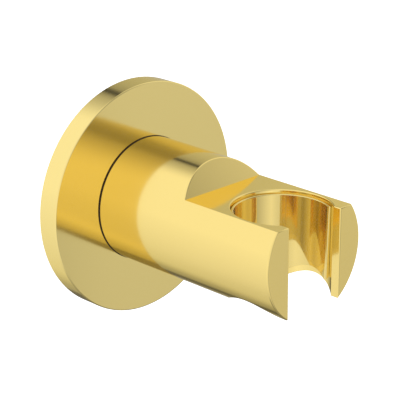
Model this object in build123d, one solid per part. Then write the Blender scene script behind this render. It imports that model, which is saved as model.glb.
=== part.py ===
from build123d import *
from math import radians, sqrt, tan
import os

# A wall holder for a hand shower, in millimetres and degrees. The wall is the plane y = 0, the arm
# points along -Y, +Z is up, and the origin is the centre of the rosette's back, on the wall.

# Rosette, a turned cup that hides the wall plate
rosette_diameter = 60.0
rosette_depth = 6.0
rosette_rim_wall = 2.5
rosette_chamfer = 0.3

# Cradle, the upright bore near the arm's tip, and the tapered liner that takes the hose's conical nut
cradle_diameter = 24.0
liner_drop = 0.95
liner_lip_wall = 0.7
liner_foot_wall = 1.25
liner_foot_gap = 2.15
liner_lip_chamfer = 0.25
liner_opening = 118.0
liner_end_chamfer = 0.5

# Arm, a turned bar round the cradle: how much of it is left beside, before and behind the bore
arm_reach = 62.4
cradle_side_wall = 4.0
flat_side_wall = 0.84
prong_depth = 2.2
shoulder_gap = 7.1
shoulder_lean = 27.0
slot_lip = 1.85
edge_chamfer = 0.3
heel_chamfer = 0.12

# Swivel between arm and rosette: spigot, black washer, bush, disc spring, clamp washer and screw
spigot_diameter = 14.0
washer_thickness = 0.3
washer_bead = 0.12
bush_wall = 1.0
bush_flange_width = 3.0
bush_flange_thickness = 0.6
spring_width = 3.6
spring_thickness = 0.45
spring_height = 0.7
clamp_washer_diameter = 20.0
clamp_washer_thickness = 0.6
screw_diameter = 6.0
screw_length = 12.0
screw_head_diameter = 11.0
screw_head_height = 1.6
screw_head_chamfer = 0.3
screw_hex = 4.0
screw_hex_depth = 2.4
screw_hole_spare = 2.0

# Wall plate, a ring inside the rosette, and the grub screw that locks the rosette to its edge
plate_thickness = 3.0
plate_chamfer = 0.2
wall_hole_diameter = 5.2
countersink_width = 2.2
grub_diameter = 3.0
grub_point_diameter = 0.8
grub_bite = 0.4
grub_sink = 0.2
grub_hex = 1.5
grub_hex_depth = 1.4

# Clearances, each on one side, and the angles of the cutting tools
running_clearance = 0.05
seat_clearance = 0.02
liner_glue_gap = 0.05
spring_clearance = 0.15
plate_clearance = 0.3
window_clearance = 1.75
wall_clearance = 0.5
cone_angle = 90.0
drill_point_angle = 118.0

# How near two places are to count as one when edges are picked
same_place = 1e-4

# Radii of the rosette, the swivel and the wall plate
rosette_radius = rosette_diameter / 2
cavity_radius = rosette_radius - rosette_rim_wall
plate_radius = cavity_radius - plate_clearance
spigot_radius = spigot_diameter / 2
bush_bore_radius = spigot_radius + running_clearance
bush_radius = bush_bore_radius + bush_wall
bush_flange_radius = bush_radius + bush_flange_width
screw_hole_radius = screw_diameter / 2 + seat_clearance

# Radii of the cradle and the arm, the slot that the hose passes through, the flat on the arm's tip,
# and where the liner ends above and below
cradle_radius = cradle_diameter / 2
liner_radius = cradle_radius - liner_glue_gap
liner_mouth_radius = liner_radius - liner_lip_wall
liner_foot_radius = liner_radius - liner_foot_wall
slot_half_width = liner_foot_radius - slot_lip
arm_radius = cradle_radius + cradle_side_wall
flat_z = sqrt(arm_radius**2 - (cradle_radius + flat_side_wall) ** 2)
liner_top_z = flat_z - liner_drop
foot_arc_radius = arm_radius - liner_foot_gap

# Places along the arm's axis: the swivel's pieces from the wall outwards, then the arm from its tip back
head_y = -wall_clearance
clamp_y = head_y - screw_head_height
spigot_y = clamp_y - clamp_washer_thickness
flange_y = spigot_y - spring_height
cavity_y = flange_y - bush_flange_thickness
face_y = -rosette_depth
heel_y = face_y - washer_thickness
tip_y = -arm_reach
cradle_y = tip_y + prong_depth + sqrt(cradle_radius**2 - slot_half_width**2)
shoulder_y = cradle_y + cradle_radius + shoulder_gap


# A body of revolution about the arm's axis, from corners given as (radius, y)
def turned(*corners):
    return revolve(make_face(Polyline(*corners, close=True)), Axis.Y)


# A plain ring about the arm's axis
def ring(inner_radius, outer_radius, back_y, front_y):
    return turned(
        (inner_radius, back_y),
        (outer_radius, back_y),
        (outer_radius, front_y),
        (inner_radius, front_y),
    )


# The edges whose centres lie at this place along an axis
def edges_at(solid, axis, place):
    return solid.edges().filter_by_position(axis, place - same_place, place + same_place)


# The round edges of a turned solid that have this radius and lie at this y
def rim(solid, radius, y):
    circles = solid.edges().filter_by(GeomType.CIRCLE)
    circles = circles.filter_by(lambda edge: abs(edge.radius - radius) < same_place)
    return circles.filter_by(lambda edge: abs(edge.arc_center.Y - y) < same_place)


# The length of a cone of this tip angle that widens by this much on each side
def cone_length(widening, tip_angle):
    return widening / tan(radians(tip_angle / 2))


# The prism that a hexagon key fills, cut forwards into a turned solid from its face at this y
def hex_socket(y, across_flats, depth):
    mouth = Plane(origin=(0, y, 0), z_dir=(0, -1, 0))
    return extrude(mouth * RegularPolygon(across_flats / 2, 6, major_radius=False), depth)


# The space that the hose passes through: from the cradle's axis out past the tip, at full height
def hose_slot():
    size = (2 * slot_half_width, 2 * arm_radius, 4 * arm_radius)
    return Pos(0, cradle_y, 0) * Box(*size, align=(Align.CENTER, Align.MAX, Align.CENTER))


# The grub screw's outline, from its point in the wall plate's edge to an outer end
def grub_blank(outer_end, clearance=0.0):
    radius = grub_diameter / 2 + clearance
    point_radius = grub_point_diameter / 2 + clearance
    point_end = plate_radius - grub_bite - clearance
    return turned(
        (0, point_end),
        (point_radius, point_end),
        (radius, point_end + cone_length(radius - point_radius, cone_angle)),
        (radius, outer_end),
        (0, outer_end),
    )


# Brings a solid from the arm's axis to the grub screw's: its +Y then points down, through the rim
def under_rim(solid):
    return Pos(0, cavity_y / 2, 0) * Rot(-90, 0, 0) * solid


def rosette():
    hole_radius = bush_radius + seat_clearance
    cup = turned(
        (hole_radius, face_y),
        (rosette_radius, face_y),
        (rosette_radius, 0),
        (cavity_radius, 0),
        (cavity_radius, cavity_y),
        (hole_radius, cavity_y),
    )
    cup = chamfer(rim(cup, rosette_radius, face_y) + rim(cup, rosette_radius, 0), rosette_chamfer)
    return cup - under_rim(grub_blank(rosette_diameter, seat_clearance))


def holder_arm():
    hole_end_y = clamp_y - screw_length - screw_hole_spare
    hole_point_y = hole_end_y - cone_length(screw_hole_radius, drill_point_angle)
    bar = turned(
        (0, tip_y),
        (arm_radius, tip_y),
        (arm_radius, heel_y),
        (spigot_radius, heel_y),
        (spigot_radius, spigot_y),
        (screw_hole_radius, spigot_y),
        (screw_hole_radius, hole_end_y),
        (0, hole_point_y),
    )
    bar = chamfer(rim(bar, arm_radius, heel_y), heel_chamfer)

    # The flat on top of the tip with the shoulder that leans back, the upright bore, and the slot before it
    crest_y = shoulder_y + arm_radius * tan(radians(shoulder_lean))
    flat_section = Polyline(
        (shoulder_y, flat_z),
        (crest_y, flat_z + arm_radius),
        (-2 * arm_reach, flat_z + arm_radius),
        (-2 * arm_reach, flat_z),
        close=True,
    )
    bar -= extrude(Plane.YZ * make_face(flat_section), arm_radius, both=True)
    bar -= Pos(0, cradle_y, 0) * Rot(0, 0, -90) * Cylinder(cradle_radius, 4 * arm_radius)
    bar -= hose_slot()

    # The edges that catch the light: the shoulder's arc, the cradle's mouth with the tip's two faces,
    # and on the underside the bore and the slot
    bar = chamfer(edges_at(bar, Axis.Z, arm_radius), edge_chamfer)
    mouth_edges = edges_at(bar, Axis.Z, flat_z).filter_by(Axis.X, reverse=True)
    mouth_edges = mouth_edges.filter_by_position(Axis.X, -cradle_radius, cradle_radius)
    bar = chamfer(mouth_edges + edges_at(bar, Axis.Y, tip_y), edge_chamfer)
    slot_edges = bar.edges().filter_by(Axis.Y).filter_by_position(Axis.Z, -arm_radius, -same_place)
    return chamfer(slot_edges + edges_at(bar, Axis.Z, -arm_radius), edge_chamfer)


def cradle_liner():
    lip = min(liner_lip_chamfer, 0.4 * liner_lip_wall)
    section = Polyline(
        (liner_foot_radius, -foot_arc_radius),
        (liner_radius, -foot_arc_radius),
        (liner_radius, liner_top_z - lip),
        (liner_radius - lip, liner_top_z),
        (liner_mouth_radius + lip, liner_top_z),
        (liner_mouth_radius, liner_top_z - lip),
        close=True,
    )
    sleeve = revolve(Plane.XZ * make_face(section), Axis.Z)

    # The front is open between two ends that point at the cradle's axis, their inner long edges chamfered
    front_y = -2 * cradle_radius
    half_width = -front_y * tan(radians(liner_opening / 2))
    wedge = Polyline((0, 0), (half_width, front_y), (-half_width, front_y), close=True)
    sleeve -= extrude(make_face(wedge), 2 * arm_radius, both=True)
    end_edges = sleeve.edges().filter_by_position(Axis.Y, front_y, -same_place)
    long_edges = end_edges.filter_by(lambda edge: edge.length > cradle_radius)
    sleeve = chamfer(long_edges.sort_by(Axis.Y)[-2:], liner_end_chamfer)

    # The foot follows the arm's round underside
    size = (2 * arm_radius, 2 * arm_radius, arm_radius)
    underside = Box(*size, align=(Align.CENTER, Align.CENTER, Align.MAX))
    underside -= Rot(90, 0, 0) * Cylinder(foot_arc_radius, 4 * arm_radius)
    return Pos(0, cradle_y, 0) * (sleeve - underside)


def swivel_washer():
    outer_radius = arm_radius + washer_bead
    disc = ring(bush_bore_radius, outer_radius, face_y, heel_y)
    bead_chamfer = min(washer_bead, washer_thickness / 3)
    return chamfer(rim(disc, outer_radius, face_y) + rim(disc, outer_radius, heel_y), bead_chamfer)


def pivot_bush():
    return turned(
        (bush_bore_radius, face_y),
        (bush_radius, face_y),
        (bush_radius, cavity_y),
        (bush_flange_radius, cavity_y),
        (bush_flange_radius, flange_y),
        (bush_bore_radius, flange_y),
    )


def disc_spring():
    inner_radius = spigot_radius + spring_clearance
    outer_radius = inner_radius + spring_width
    front_y = flange_y + seat_clearance
    return turned(
        (inner_radius, spigot_y),
        (inner_radius, spigot_y - spring_thickness),
        (outer_radius, front_y),
        (outer_radius, front_y + spring_thickness),
    )


def clamp_washer():
    return ring(screw_hole_radius, clamp_washer_diameter / 2, clamp_y, spigot_y)


def pivot_screw():
    end_y = clamp_y - screw_length
    shank_radius = screw_diameter / 2
    head_radius = screw_head_diameter / 2
    screw = turned(
        (0, head_y),
        (head_radius, head_y),
        (head_radius, clamp_y),
        (shank_radius, clamp_y),
        (shank_radius, end_y),
        (0, end_y),
    )
    screw = chamfer(rim(screw, head_radius, head_y), screw_head_chamfer)
    return screw - hex_socket(head_y, screw_hex, screw_hex_depth)


def wall_plate():
    window_radius = bush_flange_radius + window_clearance
    plate = ring(window_radius, plate_radius, 0, -plate_thickness)
    plate = chamfer(rim(plate, plate_radius, -plate_thickness), plate_chamfer)

    # Two countersunk holes for the wall screws, side by side in the middle of the ring
    hole_radius = wall_hole_diameter / 2
    sink_y = cone_length(countersink_width, cone_angle) - plate_thickness
    wall_hole = turned(
        (0, 0),
        (hole_radius, 0),
        (hole_radius, sink_y),
        (hole_radius + countersink_width, -plate_thickness),
        (0, -plate_thickness),
    )
    hole_x = (window_radius + plate_radius) / 2
    for side in (-1, 1):
        plate -= Pos(side * hole_x, 0, 0) * wall_hole
    return plate - under_rim(grub_blank(rosette_diameter, seat_clearance))


def rosette_grub_screw():
    outer_end = rosette_radius - grub_sink
    return under_rim(grub_blank(outer_end) - hex_socket(outer_end, grub_hex, grub_hex_depth))


def main():
    pieces = (
        rosette,
        holder_arm,
        cradle_liner,
        swivel_washer,
        pivot_bush,
        disc_spring,
        clamp_washer,
        pivot_screw,
        wall_plate,
        rosette_grub_screw,
    )
    os.makedirs("parts", exist_ok=True)
    for piece in pieces:
        export_step(piece(), f"parts/{piece.__name__}.step")


main()
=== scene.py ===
import bmesh
import bpy
import math
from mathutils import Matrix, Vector


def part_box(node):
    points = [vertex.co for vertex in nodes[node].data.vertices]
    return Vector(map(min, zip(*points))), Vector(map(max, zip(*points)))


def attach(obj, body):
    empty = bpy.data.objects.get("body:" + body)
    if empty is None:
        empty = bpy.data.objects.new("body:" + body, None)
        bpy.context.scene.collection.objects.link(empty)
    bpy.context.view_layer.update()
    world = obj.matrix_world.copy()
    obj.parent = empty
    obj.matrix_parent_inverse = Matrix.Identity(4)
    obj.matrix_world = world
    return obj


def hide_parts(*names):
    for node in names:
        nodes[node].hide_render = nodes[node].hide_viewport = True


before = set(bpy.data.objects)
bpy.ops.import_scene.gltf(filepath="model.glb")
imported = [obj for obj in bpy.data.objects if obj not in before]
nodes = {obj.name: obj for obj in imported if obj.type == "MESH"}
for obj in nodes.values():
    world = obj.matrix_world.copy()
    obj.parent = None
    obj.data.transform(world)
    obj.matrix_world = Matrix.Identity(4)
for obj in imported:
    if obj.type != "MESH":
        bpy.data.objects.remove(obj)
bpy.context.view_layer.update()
mm = 0.001  # the frame is in metres, sizes below are written in millimetres
samePlace = 0.002 * mm
seamMatch = samePlace / 4  # joins the two ends of a turned piece
looseMatch = 5 * samePlace  # for vertices that a cut has put on a round
smoothAngle = math.radians(32)
print("frame loaded,", len(nodes), "solids")


# a socket of a shader graph; sums and products of wires add their Math nodes
class Wire:
    def __init__(self, sheet, socket):
        self.sheet = sheet
        self.socket = socket

    def maths(self, operation, first, second):
        return self.sheet.add("Math", {"operation": operation}, {0: first, 1: second})

    def __add__(self, other):
        return self.maths("ADD", self, other)

    def __radd__(self, other):
        return self.maths("ADD", other, self)

    def __sub__(self, other):
        return self.maths("SUBTRACT", self, other)

    def __rsub__(self, other):
        return self.maths("SUBTRACT", other, self)

    def __mul__(self, other):
        return self.maths("MULTIPLY", self, other)

    def __rmul__(self, other):
        return self.maths("MULTIPLY", other, self)

    # another output of the same node
    def beside(self, output):
        return Wire(self.sheet, self.socket.node.outputs[output])


# a node tree that is filled by add(): node type, settings, then values or wires for its sockets
class NodeSheet:
    def __init__(self, tree):
        self.tree = tree
        tree.nodes.clear()

    def add(self, kind, settings=None, inputs=None, output=0):
        node = self.tree.nodes.new("ShaderNode" + kind)
        for key, value in (settings or {}).items():
            if key == "stops":
                self.setStops(node.color_ramp, value)
            else:
                setattr(node, key, value)
        for key, value in (inputs or {}).items():
            if isinstance(value, Wire):
                self.tree.links.new(value.socket, node.inputs[key])
            else:
                node.inputs[key].default_value = value
        return Wire(self, node.outputs[output]) if node.outputs else node

    def setStops(self, ramp, stops):
        while len(ramp.elements) < len(stops):
            ramp.elements.new(1.0)
        for element, (place, level) in zip(ramp.elements, stops):
            element.position = place
            element.color = (level, level, level, 1)

    # sockets 6 and 7 and output 2 are the colours of a Mix node
    def mixColours(self, factor, colour, otherColour):
        inputs = {"Factor": factor, 6: colour, 7: otherColour}
        return self.add("Mix", {"data_type": "RGBA"}, inputs, output=2)


def newMaterial(name):
    material = bpy.data.materials.new(name)
    material.use_nodes = True
    return material, NodeSheet(material.node_tree)


# noise on the piece's own coordinates
def addNoise(sheet, scale, detail):
    place = sheet.add("TexCoord", output="Object")
    return sheet.add("TexNoise", inputs={"Vector": place, "Scale": scale, "Detail": detail})


def addBump(sheet, grain, look):
    inputs = {"Height": grain, "Strength": look["bumpStrength"], "Distance": look["bumpHeight"]}
    return sheet.add("Bump", inputs=inputs)


def deselectAll():
    if bpy.context.object and bpy.context.object.mode != "OBJECT":
        bpy.ops.object.mode_set(mode="OBJECT")
    bpy.ops.object.select_all(action="DESELECT")


def makeActive(piece):
    deselectAll()
    piece.select_set(True)
    bpy.context.view_layer.objects.active = piece


# picks what a test on a list of corner places says yes to, in the mesh that is being edited
def pick(kind, test):
    mesh = bpy.context.object.data
    cage = bmesh.from_edit_mesh(mesh)
    bpy.ops.mesh.select_all(action="DESELECT")
    for item in getattr(cage, kind):
        corners = [item.co] if kind == "verts" else [corner.co for corner in item.verts]
        if test(corners):
            item.select_set(True)
    cage.select_flush_mode()
    bmesh.update_edit_mesh(mesh)


def near(value, wanted):
    return abs(value - wanted) < samePlace


# moves each picked vertex to where a rule puts it
def reshape(rule):
    mesh = bpy.context.object.data
    cage = bmesh.from_edit_mesh(mesh)
    for corner in cage.verts:
        if corner.select:
            corner.co = rule(corner.co)
    bmesh.update_edit_mesh(mesh)


def applyPlace():
    bpy.ops.object.transform_apply(location=True, rotation=True, scale=True)


def turnFacesOut():
    bpy.ops.mesh.select_all(action="SELECT")
    bpy.ops.mesh.normals_make_consistent(inside=False)


# draws a section corner by corner from one vertex; a corner is (place, rounding)
def drawSection(name, corners, closed, roundSteps=4):
    deselectAll()
    bpy.ops.mesh.primitive_plane_add(size=mm)
    piece = bpy.context.object
    piece.name = piece.data.name = name
    bpy.ops.object.mode_set(mode="EDIT")
    bpy.ops.mesh.select_mode(type="VERT")
    bpy.ops.mesh.merge(type="CENTER")
    places = [Vector(place) for place, rounding in corners]
    bpy.ops.transform.translate(value=places[0])
    for start, end in zip(places, places[1:]):
        bpy.ops.mesh.extrude_region_move(TRANSFORM_OT_translate={"value": end - start})
    if closed:
        ends = (places[0], places[-1])
        pick("verts", lambda at: any((at[0] - end).length < samePlace for end in ends))
        bpy.ops.mesh.edge_face_add()
    for place, rounding in corners:
        if rounding:
            pick("verts", lambda at: (at[0] - Vector(place)).length < samePlace)
            bpy.ops.mesh.bevel(
                offset=rounding, segments=roundSteps, affect="VERTICES", clamp_overlap=False
            )
    return piece


# turns the drawn section once round an axis and closes the seam
def spinSection(steps, centre=(0, 0, 0), axis=(0, 1, 0)):
    bpy.ops.mesh.select_all(action="SELECT")
    bpy.ops.mesh.spin(steps=steps, angle=2 * math.pi, center=centre, axis=axis)
    bpy.ops.mesh.select_all(action="SELECT")
    bpy.ops.mesh.remove_doubles(threshold=seamMatch)
    turnFacesOut()


# a turned piece about the arm's axis, from corners (radius, y, rounding) in metres
def turnPiece(name, corners, steps, closed=True):
    section = [((radius, y, 0), rounding) for radius, y, rounding in corners]
    piece = drawSection(name, section, closed)
    spinSection(steps)
    bpy.ops.object.mode_set(mode="OBJECT")
    return piece


def cutAway(piece, cutter):
    makeActive(piece)
    cut = piece.modifiers.new("cut", "BOOLEAN")
    cut.operation = "DIFFERENCE"
    cut.solver = "EXACT"
    cut.object = cutter
    bpy.ops.object.modifier_apply(modifier=cut.name)
    bpy.data.objects.remove(cutter)


# smooth shading with flat faces kept flat, then the frame's bookkeeping
def finishPiece(piece, material, body, node):
    makeActive(piece)
    bpy.ops.object.shade_smooth_by_angle(angle=smoothAngle)
    weighted = piece.modifiers.new("weighted", "WEIGHTED_NORMAL")
    weighted.keep_sharp = True
    bpy.ops.object.modifier_apply(modifier=weighted.name)
    piece.data.materials.clear()
    piece.data.materials.append(material)
    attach(piece, body)
    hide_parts(node)
    print(piece.name, "done,", len(piece.data.polygons), "faces")


# gold coat on polished brass; each piece has its colour and a deeper one for its clouds, and the
# liner's is set darker as painted shade of the bore it lines
goldSet = dict(
    arm=((0.957, 0.752, 0.262, 1), (0.947, 0.738, 0.256, 1)),
    rosette=((0.955, 0.772, 0.292, 1), (0.945, 0.758, 0.284, 1)),
    # darker gold for the liner: painted shade of the bore it sits in
    liner=((0.85, 0.665, 0.226, 1), (0.83, 0.645, 0.217, 1)),
    edgeTint=(0.98, 0.9, 0.58, 1),
    haze=dict(arm=0.25, rosette=0.25, liner=1.0),
    hazeRoughness=0.5,
    roughness=dict(arm=0.11, rosette=0.11, liner=0.07),
    grainRoughness=0.03,
    cloudScale=70.0,
    cloudDetail=2.0,
    grainScale=5200.0,
    grainDetail=3.0,
    bumpStrength=0.04,
    bumpHeight=0.004 * mm,
)


def makeGold(piece):
    look = goldSet
    material, sheet = newMaterial(piece + "Gold")
    colour, deepColour = look[piece]
    cloud = addNoise(sheet, look["cloudScale"], look["cloudDetail"])
    grain = addNoise(sheet, look["grainScale"], look["grainDetail"])
    shader = sheet.add(
        "BsdfPrincipled",
        inputs={
            "Base Color": sheet.mixColours(cloud, colour, deepColour),
            "Metallic": 1.0,
            "Roughness": look["roughness"][piece] + (cloud + grain - 1.0) * look["grainRoughness"],
            "Specular Tint": look["edgeTint"],
            "Coat Weight": look["haze"][piece],
            "Coat Roughness": look["hazeRoughness"],
            "Normal": addBump(sheet, grain, look),
        },
    )
    sheet.add("OutputMaterial", inputs={"Surface": shader})
    return material


# black plastic of the swivel's washer and bush
plasticSet = dict(
    colour=(0.02, 0.011, 0.008, 1),
    paleColour=(0.036, 0.021, 0.015, 1),
    roughness=0.36,
    grainRoughness=0.12,
    specularLevel=0.2,
    grainScale=2600.0,
    grainDetail=2.0,
    bumpStrength=0.15,
    bumpHeight=0.02 * mm,
)


def makeBlackPlastic():
    look = plasticSet
    material, sheet = newMaterial("blackPlastic")
    grain = addNoise(sheet, look["grainScale"], look["grainDetail"])
    shader = sheet.add(
        "BsdfPrincipled",
        inputs={
            "Base Color": sheet.mixColours(grain, look["colour"], look["paleColour"]),
            "Roughness": look["roughness"] + (grain - 0.5) * look["grainRoughness"],
            "Specular IOR Level": look["specularLevel"],
            "Normal": addBump(sheet, grain, look),
        },
    )
    sheet.add("OutputMaterial", inputs={"Surface": shader})
    return material


# steel of the inner pieces: two tones that run into each other, finer or coarser
steelSet = dict(
    stainless=dict(
        colour=(0.62, 0.62, 0.63, 1),
        otherColour=(0.5, 0.5, 0.52, 1),
        roughness=0.28,
        grainScale=900.0,
    ),
    springSteel=dict(
        colour=(0.36, 0.36, 0.38, 1),
        otherColour=(0.22, 0.23, 0.27, 1),
        roughness=0.35,
        grainScale=700.0,
    ),
    zincPlate=dict(
        colour=(0.66, 0.67, 0.68, 1),
        otherColour=(0.5, 0.52, 0.55, 1),
        roughness=0.36,
        grainScale=420.0,
    ),
    grainDetail=4.0,
    grainRoughness=0.2,
    bumpStrength=0.2,
    bumpHeight=0.01 * mm,
)


def makeSteel(kind):
    look = steelSet
    tone = look[kind]
    material, sheet = newMaterial(kind)
    grain = addNoise(sheet, tone["grainScale"], look["grainDetail"])
    shader = sheet.add(
        "BsdfPrincipled",
        inputs={
            "Base Color": sheet.mixColours(grain, tone["colour"], tone["otherColour"]),
            "Metallic": 1.0,
            "Roughness": tone["roughness"] + (grain - 0.5) * look["grainRoughness"],
            "Normal": addBump(sheet, grain, look),
        },
    )
    sheet.add("OutputMaterial", inputs={"Surface": shader})
    return material


armGold = makeGold("arm")
rosetteGold = makeGold("rosette")
linerGold = makeGold("liner")
blackPlastic = makeBlackPlastic()
stainless = makeSteel("stainless")
springSteel = makeSteel("springSteel")
zincPlate = makeSteel("zincPlate")
print("materials made")

# places that several pieces share, read from the frame
rosetteLow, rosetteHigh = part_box("rosette")
armLow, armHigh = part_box("holder_arm")
washerLow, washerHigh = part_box("swivel_washer")
linerLow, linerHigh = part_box("cradle_liner")
faceY = rosetteLow.y
heelY = washerLow.y
tipY = armLow.y
spigotY = armHigh.y
armRadius = armHigh.x
linerRadius = linerHigh.x
cradleY = linerHigh.y - linerRadius


# rosette: a turned cup with a hole for the grub screw in its rim
rosetteSet = dict(
    cavityRadius=27.5 * mm,
    cavityY=-4.0 * mm,
    holeRadius=8.07 * mm,
    edgeRound=0.3 * mm,
    backRound=0.3 * mm,
    grubHoleRadius=1.52 * mm,
    grubHoleSteps=64,
    grubY=-2.0 * mm,
    drillLength=6.0 * mm,
    steps=288,
)


def grubHoleCutter(size):
    deselectAll()
    rimMiddle = (rosetteHigh.x + size["cavityRadius"]) / 2
    bpy.ops.mesh.primitive_cylinder_add(
        vertices=size["grubHoleSteps"],
        radius=size["grubHoleRadius"],
        depth=size["drillLength"],
        location=(0, size["grubY"], -rimMiddle),
    )
    applyPlace()
    return bpy.context.object


def makeRosette():
    size = rosetteSet
    radius = rosetteHigh.x
    piece = turnPiece("rosette_shell", [
        (size["holeRadius"], faceY, 0),
        (radius, faceY, size["edgeRound"]),
        (radius, rosetteHigh.y, size["backRound"]),
        (size["cavityRadius"], rosetteHigh.y, 0),
        (size["cavityRadius"], size["cavityY"], 0),
        (size["holeRadius"], size["cavityY"], 0),
    ], size["steps"])
    cutAway(piece, grubHoleCutter(size))
    finishPiece(piece, rosetteGold, "base", "rosette")


# arm: a turned bar, cut to a flat, bored upright and slotted to the front
armSet = dict(
    flatZ=9.5475 * mm,
    shoulderY=-32.9957 * mm,
    shoulderLean=math.radians(27),
    boreRadius=12.0 * mm,
    slotHalfWidth=8.85 * mm,
    spigotRadius=7.0 * mm,
    screwHoleRadius=3.02 * mm,
    screwHoleY=-16.1 * mm,
    screwPointY=-17.915 * mm,
    tipRound=0.38 * mm,
    shoulderRound=0.26 * mm,
    underRound=0.3 * mm,
    underArc=((1, 0), (0.5, 0.134), (0.134, 0.5)),  # quarter round, as shares of wall and underside
    underExit=3,  # how far its last step goes on, out through the underside
    ringLevels=(-1.2, -1.3, -1.4, -1.5, -2.0),  # where a cutter gets its rings, as shares of the radius
    heelRound=0.12 * mm,
    roundSteps=4,
    steps=162,  # puts no vertex of the round close to a corner of the tip, where the bevels end
    boreSteps=216,
    flatAngle=math.radians(0.1),  # faces that meet at less are one
)
cutterTop = 2 * armRadius  # well above the arm


# the block that is milled off the top of the tip; its back leans with the shoulder
def flatCutter(size):
    deselectAll()
    low = Vector((-cutterTop, tipY - cutterTop, size["flatZ"]))
    high = Vector((cutterTop, size["shoulderY"], cutterTop))
    bpy.ops.mesh.primitive_cube_add(size=1, location=(low + high) / 2, scale=high - low)
    applyPlace()
    bpy.ops.object.mode_set(mode="EDIT")
    bpy.ops.mesh.select_mode(type="VERT")
    pick("verts", lambda at: near(at[0].y, size["shoulderY"]) and near(at[0].z, cutterTop))
    lean = (cutterTop - size["flatZ"]) * math.tan(size["shoulderLean"])
    bpy.ops.transform.translate(value=(0, lean, 0))
    bpy.ops.object.mode_set(mode="OBJECT")
    return bpy.context.object


# takes the plan that was just added down through the arm
# it widens at the underside in four rings and so rounds the edge there
def plungeCutter(size, outwards):
    applyPlace()
    bpy.ops.object.mode_set(mode="EDIT")
    bpy.ops.mesh.select_all(action="SELECT")
    levels = [cutterTop] + [armRadius * share for share in size["ringLevels"]]
    for above, below in zip(levels, levels[1:]):
        drop = (0, 0, below - above)
        bpy.ops.mesh.extrude_region_move(TRANSFORM_OT_translate={"value": drop})

    def flare(ring):
        def rule(p):
            out = outwards(p)
            corner = Vector((p.x, p.y, -math.sqrt(armRadius ** 2 - p.x ** 2)))
            along = Vector((out.x, out.y, -p.x * out.x / corner.z)).normalized()
            places = []
            for up, away in size["underArc"]:
                places.append(corner + (Vector((0, 0, up)) + along * away) * size["underRound"])
            onwards = corner + along * size["underRound"] - places[-1]
            places.append(places[-1] + onwards * size["underExit"])
            return places[ring]
        return rule

    for ring, level in enumerate(levels[1:-1]):
        pick("verts", lambda at: near(at[0].z, level))
        reshape(flare(ring))
    turnFacesOut()
    bpy.ops.object.mode_set(mode="OBJECT")
    return bpy.context.object


def boreCutter(size):
    deselectAll()
    bpy.ops.mesh.primitive_circle_add(
        vertices=size["boreSteps"],
        radius=size["boreRadius"],
        fill_type="NGON",
        location=(0, cradleY, cutterTop),
    )
    return plungeCutter(size, lambda p: Vector((p.x, p.y - cradleY, 0)).normalized())


def slotCutter(size):
    deselectAll()
    length = 2 * armRadius
    bpy.ops.mesh.primitive_plane_add(size=1, location=(0, cradleY - length / 2, cutterTop))
    bpy.context.object.scale = (2 * size["slotHalfWidth"], length, 1)
    return plungeCutter(size, lambda p: Vector((math.copysign(1, p.x), 0, 0)))


def makeArm():
    size = armSet
    flatZ, half = size["flatZ"], size["slotHalfWidth"]
    centreRadius = half / 2  # inside it one face closes the tip's end, until the slot cuts it off
    piece = turnPiece("arm_body", [
        (centreRadius, tipY, 0),
        (armRadius, tipY, size["tipRound"]),
        (armRadius, heelY, size["heelRound"]),
        (size["spigotRadius"], heelY, 0),
        (size["spigotRadius"], spigotY, 0),
        (size["screwHoleRadius"], spigotY, 0),
        (size["screwHoleRadius"], size["screwHoleY"], 0),
        (0, size["screwPointY"], 0),
    ], size["steps"], closed=False)

    def onCentre(at):
        return all(near(p.y, tipY) and near(math.hypot(p.x, p.z), centreRadius) for p in at)

    bpy.ops.object.mode_set(mode="EDIT")
    pick("edges", onCentre)
    bpy.ops.mesh.edge_face_add()
    turnFacesOut()
    bpy.ops.object.mode_set(mode="OBJECT")
    cutAway(piece, flatCutter(size))
    cutAway(piece, boreCutter(size))
    cutAway(piece, slotCutter(size))

    def onFlat(at):
        return all(near(p.z, flatZ) for p in at)

    def onSlot(at):
        return all(near(abs(p.x), half) for p in at)

    def onBore(at):
        return all(abs(math.hypot(p.x, p.y - cradleY) - size["boreRadius"]) < looseMatch for p in at)

    def onMouth(at):
        inFront = all(p.y < cradleY + size["boreRadius"] + samePlace for p in at)
        return onFlat(at) and inFront and (onBore(at) or onSlot(at))

    def onTip(at):
        return all(near(p.y, tipY) for p in at) and (onFlat(at) or onSlot(at))

    def onShoulder(at):
        lean = math.tan(size["shoulderLean"])
        onPlane = all(near(p.y - lean * (p.z - flatZ), size["shoulderY"]) for p in at)
        outside = all(math.hypot(p.x, p.z) > armRadius - looseMatch for p in at)
        return onPlane and outside and not onFlat(at)

    def roundEdges(rounding):
        bpy.ops.mesh.bevel(
            offset=rounding, segments=size["roundSteps"], affect="EDGES", clamp_overlap=False
        )

    makeActive(piece)
    bpy.ops.object.mode_set(mode="EDIT")
    bpy.ops.mesh.select_mode(type="EDGE")
    bpy.ops.mesh.select_all(action="SELECT")
    bpy.ops.mesh.dissolve_limited(angle_limit=size["flatAngle"])
    pick("edges", lambda at: onMouth(at) or onTip(at))
    roundEdges(size["tipRound"])
    pick("edges", onShoulder)
    roundEdges(size["shoulderRound"])
    bpy.ops.object.mode_set(mode="OBJECT")
    finishPiece(piece, armGold, "arm", "holder_arm")


# liner: a tapered sleeve with a rounded lip, open to the front, its foot cut to the round of the arm
linerSet = dict(
    mouthRadius=11.25 * mm,
    footRadius=10.7 * mm,
    lipRound=0.3 * mm,
    footRound=0.2 * mm,
    opening=math.radians(118),
    endRound=0.6 * mm,
    endRoundSteps=6,
    endOverlap=0.03 * mm,  # lets the rounding cross the inner wall, where it would only touch it
    steps=216,
    riseTries=4,  # the foot's rise and the taper depend on each other
)


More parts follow.
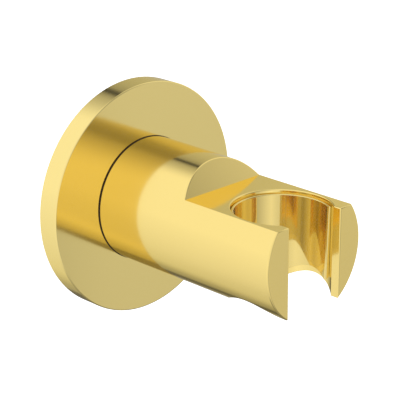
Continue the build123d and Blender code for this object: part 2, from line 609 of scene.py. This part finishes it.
# what is cut off at one end, from above: flat along a plane through the axis, round at the inner edge
def endCutter(side, taper):
    size = linerSet
    half = size["opening"] / 2
    outward = Vector((side * math.sin(half), -math.cos(half), 0))
    along = Vector((-side * outward.y, side * outward.x, 0))
    reach, rounding = 2 * linerRadius, size["endRound"]
    behind = 1.5 * rounding  # clear of the rounding
    edge = size["mouthRadius"] + taper * (reach - linerHigh.z) - size["endOverlap"]

    def place(out, back):
        return Vector((0, cradleY, reach)) + outward * out + along * back

    cutter = drawSection("end_cutter", [
        (place(reach, 0), 0),
        (place(edge, 0), rounding),
        (place(edge, behind), 0),
        (place(0, behind), 0),
        (place(0, -reach), 0),
        (place(reach, -reach), 0),
    ], closed=True, roundSteps=size["endRoundSteps"])
    bpy.ops.mesh.select_all(action="SELECT")
    bpy.ops.mesh.edge_face_add()
    down = (Vector((0, 0, -1)) - outward * taper) * 2 * reach
    bpy.ops.mesh.extrude_region_move(TRANSFORM_OT_translate={"value": down})
    turnFacesOut()
    bpy.ops.object.mode_set(mode="OBJECT")
    return cutter


def makeLiner():
    size = linerSet
    low, high = linerLow.z, linerHigh.z
    taper = (size["mouthRadius"] - size["footRadius"]) / (high - low)
    wallMiddle = (size["footRadius"] + linerRadius) / 2
    piece = drawSection("liner_sleeve", [
        ((size["footRadius"], cradleY, low), size["footRound"]),
        ((linerRadius, cradleY, low), size["footRound"]),
        ((linerRadius, cradleY, high), size["lipRound"]),
        ((size["mouthRadius"], cradleY, high), size["lipRound"]),
    ], closed=True)
    spinSection(size["steps"], centre=(0, cradleY, 0), axis=(0, 0, 1))

    # the foot rises at the sides with the round of the arm, and the inside widens with its taper
    def followArm(p):
        out = Vector((p.x, p.y - cradleY, 0))
        isInside = out.length < wallMiddle
        rise = 0
        for attempt in range(size["riseTries"]):
            wider = taper * rise / out.length if isInside else 0
            rise = -low - math.sqrt(low ** 2 - (p.x * (1 + wider)) ** 2)
        return p + out * wider + Vector((0, 0, rise))

    pick("verts", lambda at: at[0].z < low + 2 * size["footRound"])
    reshape(followArm)
    bpy.ops.object.mode_set(mode="OBJECT")
    for side in (-1, 1):
        cutAway(piece, endCutter(side, taper))
    finishPiece(piece, linerGold, "arm", "cradle_liner")


# washer: the black ring between arm and rosette
washerSet = dict(boreRadius=7.05 * mm, beadRound=0.1 * mm, steps=220)


def makeWasher():
    size = washerSet
    piece = turnPiece("swivel_ring", [
        (size["boreRadius"], faceY, 0),
        (washerHigh.x, faceY, size["beadRound"]),
        (washerHigh.x, heelY, size["beadRound"]),
        (size["boreRadius"], heelY, 0),
    ], size["steps"])
    finishPiece(piece, blackPlastic, "base", "swivel_washer")


makeRosette()
makeArm()
makeLiner()
makeWasher()

# the solids that stay as they are get their finish
finishes = {
    "pivot_bush": blackPlastic,
    "disc_spring": springSteel,
    "clamp_washer": stainless,
    "pivot_screw": stainless,
    "wall_plate": zincPlate,
    "rosette_grub_screw": stainless,
}
for node, material in finishes.items():
    nodes[node].data.materials.clear()
    nodes[node].data.materials.append(material)
print("finishes set")


# for what the gold mirrors: the camera doesn't see it, and it neither lights nor shades the rest
def showInMirrorsOnly(piece, material):
    material.cycles.emission_sampling = "NONE"
    piece.data.materials.append(material)
    piece.visible_camera = False
    piece.visible_diffuse = False
    piece.visible_shadow = False


# light tent: what the gold mirrors, as (degrees, brightness); azimuth 0 is the front
tentSet = dict(
    radius=0.6,
    low=-1.15,
    high=1.15,
    steps=128,
    upper=(
        (-180, 0.885), (-172, 1.02), (-166, 1.04), (-120, 1.03), (-45, 0.91), (-35, 0.94), (-25, 0.88),
        (15, 0.48), (24, 0.34), (31, 0.31), (40, 0.4), (46, 0.71), (53, 0.77), (62, 0.93), (97, 0.85),
        (108, 0.69), (125, 0.65), (142, 0.46), (148, 0.34), (151, 0.06), (153, 0.06), (155.5, 0.3),
        (160, 0.48), (168, 0.61), (180, 0.885),
    ),
    lower=(
        (-180, 0.885), (-172, 1.02), (-166, 1.04), (-120, 1.03), (-80, 1.17), (-66, 1.06), (-45, 0.9),
        (-33, 0.97), (-20, 1.12), (-8, 0.96), (25, 0.5), (33, 0.55), (40, 0.73), (50, 0.71), (76, 0.88),
        (97, 0.85), (125, 0.62), (140, 0.45), (147, 0.18), (155, 0.19), (160, 0.54), (168, 0.61),
        (180, 0.885),
    ),
    height=((-62, 0.32), (-56, 0.62), (-50, 0.7), (-40, 0.81), (-20, 0.905), (-2, 0.97), (4, 1.0)),
    seam=12,  # the halves run into each other this far above and below the middle
    zenith=0.9,
)


def makeTent():
    size = tentSet
    deselectAll()
    depth = size["high"] - size["low"]
    bpy.ops.mesh.primitive_cylinder_add(
        vertices=size["steps"],
        radius=size["radius"],
        depth=depth,
        location=(0, 0, (size["high"] + size["low"]) / 2),
    )
    tent = bpy.context.object
    tent.name = "light_tent"
    applyPlace()
    material, sheet = newMaterial("tentCloth")
    place = sheet.add("TexCoord", output="Object")
    x = sheet.add("SeparateXYZ", inputs={"Vector": place}, output="X")
    y, z = x.beside("Y"), x.beside("Z")
    turn = x.maths("ARCTAN2", x, -1.0 * y) * (0.5 / math.pi) + 0.5  # 0 to 1, from the back once round
    lift = (z - size["low"]) * (1 / depth)  # 0 to 1, from the tent's foot to its top

    def liftAt(rise):
        return (math.tan(math.radians(rise)) * size["radius"] - size["low"]) / depth

    def ring(half):
        stops = [((azimuth + 180) / 360, level) for azimuth, level in size[half]]
        return sheet.add("ValToRGB", {"stops": stops}, {"Fac": turn})

    heightStops = [(liftAt(rise), level) for rise, level in size["height"]]
    height = sheet.add("ValToRGB", {"stops": heightStops}, {"Fac": lift})
    blend = sheet.add(
        "MapRange",
        {"interpolation_type": "SMOOTHSTEP"},
        {"Value": lift, "From Min": liftAt(-size["seam"]), "From Max": liftAt(size["seam"])},
    )
    upper, lower = ring("upper"), ring("lower")
    side = lower + (upper - lower) * blend
    # 1 at the wall, 0 in the middle of the lids
    reach = x.maths("POWER", x * x + y * y, 0.5) * (1 / size["radius"])
    level = size["zenith"] + (side - size["zenith"]) * reach
    shine = sheet.add("Emission", inputs={"Color": level * height})
    sheet.add("OutputMaterial", inputs={"Surface": shine})
    showInMirrorsOnly(tent, material)


# dark cards, which the gold mirrors along its lower edges
cardSet = dict(
    side=dict(azimuth=92, elevation=-50, distance=0.45, width=0.5, height=0.22, level=0.1),
    front=dict(azimuth=26, elevation=-41, distance=0.45, width=0.16, height=0.15, level=0.27),
)


def makeCard(which):
    size = cardSet[which]
    deselectAll()
    azimuth, elevation = math.radians(size["azimuth"]), math.radians(size["elevation"])
    out = size["distance"] * math.cos(elevation)
    up = size["distance"] * math.sin(elevation)
    place = Vector((out * math.sin(azimuth), -out * math.cos(azimuth), up))
    bpy.ops.mesh.primitive_plane_add(
        size=1, location=place, rotation=(-place).to_track_quat("Z", "Y").to_euler()
    )
    card = bpy.context.object
    card.name = which + "_card"
    card.scale = (size["width"], size["height"], 1)
    applyPlace()
    material, sheet = newMaterial(which + "Card")
    shine = sheet.add("Emission", inputs={"Strength": size["level"]})
    sheet.add("OutputMaterial", inputs={"Surface": shine})
    showInMirrorsOnly(card, material)


# white ground, at the height that such a holder is used above it
floorSet = dict(z=-1.2, width=30.0, colour=(0.8, 0.8, 0.8, 1))


# 1 for what is seen, straight or in a mirror, and 0 for the light that it gives
def seenOrMirrored(sheet):
    camera = sheet.add("LightPath", output="Is Camera Ray")
    return camera + camera.beside("Is Glossy Ray") + camera.beside("Is Transmission Ray")


def makeFloor():
    size = floorSet
    deselectAll()
    bpy.ops.mesh.primitive_plane_add(size=size["width"], location=(0, 0, size["z"]))
    floor = bpy.context.object
    floor.name = "floor"
    applyPlace()
    material, sheet = newMaterial("paleFloor")
    matt = sheet.add("BsdfDiffuse", inputs={"Color": size["colour"]})
    white = sheet.add("Emission", inputs={"Strength": seenOrMirrored(sheet)})
    both = sheet.add("AddShader", inputs={0: matt, 1: white})
    sheet.add("OutputMaterial", inputs={"Surface": both})
    floor.data.materials.append(material)


# white world that looks brighter than the light it gives
worldSet = dict(colour=(1, 1, 1, 1), given=0.5, seen=1.0)


def makeWorld():
    size = worldSet
    world = bpy.data.worlds.new("studio")
    bpy.context.scene.world = world
    world.use_nodes = True
    sheet = NodeSheet(world.node_tree)
    strength = size["given"] + (size["seen"] - size["given"]) * seenOrMirrored(sheet)
    backdrop = sheet.add("Background", inputs={"Color": size["colour"], "Strength": strength})
    sheet.add("OutputWorld", inputs={"Surface": backdrop})


# softboxes for what isn't metal
lampSet = dict(
    key=dict(place=(-0.7, -0.5, 0.8), width=0.8, power=6.0),
    fill=dict(place=(0.8, -0.5, 0.4), width=0.8, power=3.0),
)


def makeLamps():
    for name, size in lampSet.items():
        lamp = bpy.data.lights.new(name, "AREA")
        lamp.size = size["width"]
        lamp.energy = size["power"]
        holder = bpy.data.objects.new(name, lamp)
        holder.location = size["place"]
        holder.rotation_euler = (-Vector(size["place"])).to_track_quat("-Z", "Y").to_euler()
        holder.visible_glossy = False
        bpy.context.scene.collection.objects.link(holder)


# camera, fitted to the photo's outlines
cameraSet = dict(
    place=(-253.045 * mm, -277.761 * mm, 135.697 * mm),
    azimuth=-45.055,
    elevation=20.189,
    focalPixels=1557.9,
    photoPixels=400,
    sensorWidth=36.0,  # in millimetres, as Blender has it
    nearest=0.01,
    farthest=60.0,
)


def makeCamera():
    size = cameraSet
    camera = bpy.data.cameras.new("camera")
    camera.sensor_width = size["sensorWidth"]
    camera.lens = size["focalPixels"] * size["sensorWidth"] / size["photoPixels"]
    camera.clip_start = size["nearest"]
    camera.clip_end = size["farthest"]
    holder = bpy.data.objects.new("camera", camera)
    holder.location = size["place"]
    azimuth, elevation = math.radians(size["azimuth"]), math.radians(size["elevation"])
    holder.rotation_euler = (math.pi / 2 - elevation, 0, azimuth)
    bpy.context.scene.collection.objects.link(holder)
    bpy.context.scene.camera = holder


makeTent()
for which in cardSet:
    makeCard(which)
makeFloor()
makeWorld()
makeLamps()
makeCamera()
bpy.context.scene.view_settings.view_transform = "Standard"
print("stage set")
